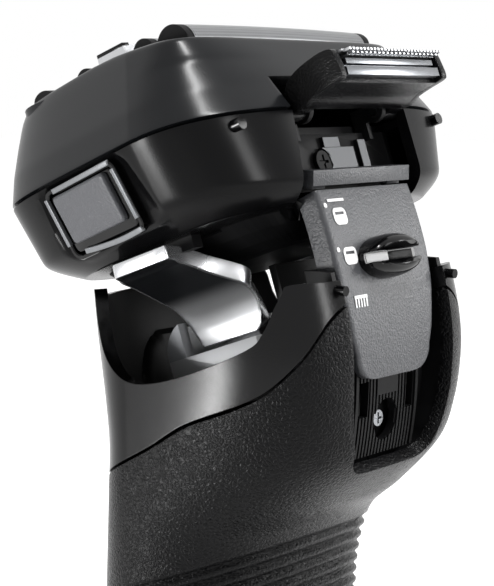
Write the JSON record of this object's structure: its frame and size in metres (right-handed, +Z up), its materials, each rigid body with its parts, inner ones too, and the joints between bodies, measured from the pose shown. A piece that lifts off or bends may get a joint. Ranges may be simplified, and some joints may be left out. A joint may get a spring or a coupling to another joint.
{
  "type": "electric shaver",
  "caption": "Cordless foil shaver: contoured grip, tilting head on silver arms, floating foils, and a rear slide panel that raises a pop-up trimmer.",
  "frame": {"origin": "centre of the flat base on the handle axis", "axes": "+Z up along the handle towards the head, -Y the front with the power button, +Y the trimmer side, +X the right hand seen from the front"},
  "size_m": [0.0722, 0.0678, 0.1625],
  "materials": {
    "satin_black_plastic": "satin",
    "shoulder_black_plastic": "satin",
    "grip_rubber": "leather grain",
    "seal_rubber": "smooth",
    "gloss_black_plastic": "gloss",
    "smoked_glass": "clear gloss",
    "silver_paint": "satin metallic",
    "bright_steel": "polished",
    "blade_steel": "ground",
    "foil_steel": "perforated",
    "polished_steel": "polished",
    "contact_brass": "polished",
    "grey_plastic": "fine grain",
    "frame_plastic": "satin",
    "inner_plastic": "satin",
    "textured_black_plastic": "leather grain",
    "battery_wrap": "gloss",
    "board_green": "satin",
    "motor_steel": "satin",
    "white_print": "matte"
  },
  "bodies": {
    "handle": {"base_cap": "satin_black_plastic", "base_seal": "seal_rubber", "base_screws": "bright_steel", "charge_pins": "contact_brass", "grip_shell": "grip_rubber", "shoulder_shell": "shoulder_black_plastic", "front_panel": "gloss_black_plastic", "display_lens": "smoked_glass", "rim_pins": "gloss_black_plastic", "chassis": "inner_plastic", "battery_cell": "battery_wrap", "circuit_board": "board_green", "track_plate": "grey_plastic", "track_screw": "bright_steel", "neck_mount": "inner_plastic", "neck_block": "silver_paint", "roll_pin": "bright_steel"},
    "power_button": {"power_button": "silver_paint"},
    "slide_panel": {"slide_panel": "grey_plastic", "slide_bar": "grey_plastic", "slide_knob": "gloss_black_plastic", "position_icons": "white_print"},
    "carrier": {"arm_left": "silver_paint", "arm_right": "silver_paint", "yoke_hub": "silver_paint", "pitch_pins": "bright_steel"},
    "head": {"head_housing": "satin_black_plastic", "bottom_cover": "satin_black_plastic", "pivot_blocks": "inner_plastic", "linear_motor": "motor_steel", "drive_posts": "bright_steel", "drive_deck": "inner_plastic", "trimmer_bracket": "inner_plastic", "bracket_screw": "bright_steel", "rear_studs": "gloss_black_plastic", "button_bezels": "grey_plastic"},
    "release_button_left": {"release_button_left": "grey_plastic"},
    "release_button_right": {"release_button_right": "grey_plastic"},
    "cassette": {"foil_frame": "frame_plastic"},
    "back_foil": {"foil_back": "foil_steel", "foil_back_holder": "gloss_black_plastic"},
    "front_foil": {"foil_front": "foil_steel", "foil_front_holder": "gloss_black_plastic"},
    "back_comb": {"comb_back": "foil_steel", "comb_back_holder": "gloss_black_plastic"},
    "front_comb": {"comb_front": "foil_steel", "comb_front_holder": "gloss_black_plastic"},
    "slit_trimmer": {"slit_guard": "foil_steel", "slit_guard_holder": "gloss_black_plastic"},
    "back_foil_blade": {"blade_back": "blade_steel"},
    "front_foil_blade": {"blade_front": "blade_steel"},
    "back_comb_blade": {"comb_back_blade": "blade_steel"},
    "front_comb_blade": {"comb_front_blade": "blade_steel"},
    "slit_cutter": {"slit_cutter": "blade_steel"},
    "trimmer": {"trimmer_case": "textured_black_plastic", "trimmer_bars": "polished_steel", "trimmer_comb": "blade_steel", "trimmer_pins": "bright_steel"},
    "trimmer_cutter": {"trimmer_cutter": "blade_steel"}
  },
  "joints": [
    {"name": "power_press", "type": "slide", "parent": "handle", "child": "power_button", "axis": [0, 1, 0], "range_m": [0, 0.0005], "stiffness_N_per_m": 900},
    {"name": "panel_slide", "type": "hinge", "parent": "handle", "child": "slide_panel", "pos_m": [0, -0.036, 0.106], "axis": [1, 0, 0], "range_deg": [-11.6, 0]},
    {"name": "head_roll", "type": "hinge", "parent": "handle", "child": "carrier", "pos_m": [0, 0.01105, 0.10887], "axis": [0, 0.9438, 0.3305], "range_deg": [-4, 4], "stiffness_Nm_per_rad": 1.2},
    {"name": "head_rock", "type": "hinge", "parent": "carrier", "child": "head", "pos_m": [0, 0.00819, 0.13065], "axis": [1, 0, 0], "range_deg": [-8, 1.5], "stiffness_Nm_per_rad": 0.8},
    {"name": "release_press_left", "type": "slide", "parent": "head", "child": "release_button_left", "axis": [-0.947, 0.0402, 0.3186], "range_m": [0, 0.0008], "stiffness_N_per_m": 700},
    {"name": "release_press_right", "type": "slide", "parent": "head", "child": "release_button_right", "axis": [0.947, 0.0402, 0.3186], "range_m": [0, 0.0008], "stiffness_N_per_m": 700},
    {"name": "cassette_lift", "type": "slide", "parent": "head", "child": "cassette", "axis": [0, -0.3305, 0.9438], "range_m": [0, 0.025]},
    {"name": "back_foil_float", "type": "slide", "parent": "cassette", "child": "back_foil", "axis": [0, -0.3305, 0.9438], "range_m": [-0.0015, 0], "stiffness_N_per_m": 250},
    {"name": "front_foil_float", "type": "slide", "parent": "cassette", "child": "front_foil", "axis": [0, -0.3305, 0.9438], "range_m": [-0.0015, 0], "stiffness_N_per_m": 250},
    {"name": "back_comb_float", "type": "slide", "parent": "cassette", "child": "back_comb", "axis": [0, -0.3305, 0.9438], "range_m": [-0.0015, 0], "stiffness_N_per_m": 250},
    {"name": "front_comb_float", "type": "slide", "parent": "cassette", "child": "front_comb", "axis": [0, -0.3305, 0.9438], "range_m": [-0.0015, 0], "stiffness_N_per_m": 250},
    {"name": "slit_trimmer_float", "type": "slide", "parent": "cassette", "child": "slit_trimmer", "axis": [0, -0.3305, 0.9438], "range_m": [-0.0015, 0], "stiffness_N_per_m": 250},
    {"name": "slit_cutter_drive", "type": "slide", "parent": "slit_trimmer", "child": "slit_cutter", "axis": [1, 0, 0], "range_m": [-0.001, 0.001], "stiffness_N_per_m": 300},
    {"name": "back_foil_blade_drive", "type": "slide", "parent": "back_foil", "child": "back_foil_blade", "axis": [1, 0, 0], "range_m": [-0.001, 0.001]},
    {"name": "front_foil_blade_drive", "type": "slide", "parent": "front_foil", "child": "front_foil_blade", "axis": [1, 0, 0], "range_m": [-0.001, 0.001]},
    {"name": "back_comb_blade_drive", "type": "slide", "parent": "back_comb", "child": "back_comb_blade", "axis": [1, 0, 0], "range_m": [-0.001, 0.001]},
    {"name": "front_comb_blade_drive", "type": "slide", "parent": "front_comb", "child": "front_comb_blade", "axis": [1, 0, 0], "range_m": [-0.001, 0.001]},
    {"name": "trimmer_swing", "type": "hinge", "parent": "head", "child": "trimmer", "pos_m": [0, 0.02256, 0.14861], "axis": [1, 0, 0], "range_deg": [-100, 0]},
    {"name": "trimmer_cut", "type": "slide", "parent": "trimmer", "child": "trimmer_cutter", "axis": [1, 0, 0], "range_m": [-0.0008, 0.0008]}
  ],
  "couplings": [
    {"joint": "back_foil_blade_drive", "follows": "slit_cutter_drive", "ratio": 1},
    {"joint": "front_foil_blade_drive", "follows": "slit_cutter_drive", "ratio": 1},
    {"joint": "back_comb_blade_drive", "follows": "slit_cutter_drive", "ratio": 1},
    {"joint": "front_comb_blade_drive", "follows": "slit_cutter_drive", "ratio": 1},
    {"joint": "trimmer_swing", "follows": "panel_slide", "ratio": 8.62},
    {"joint": "trimmer_cut", "follows": "slit_cutter_drive", "ratio": 0.8}
  ]
}
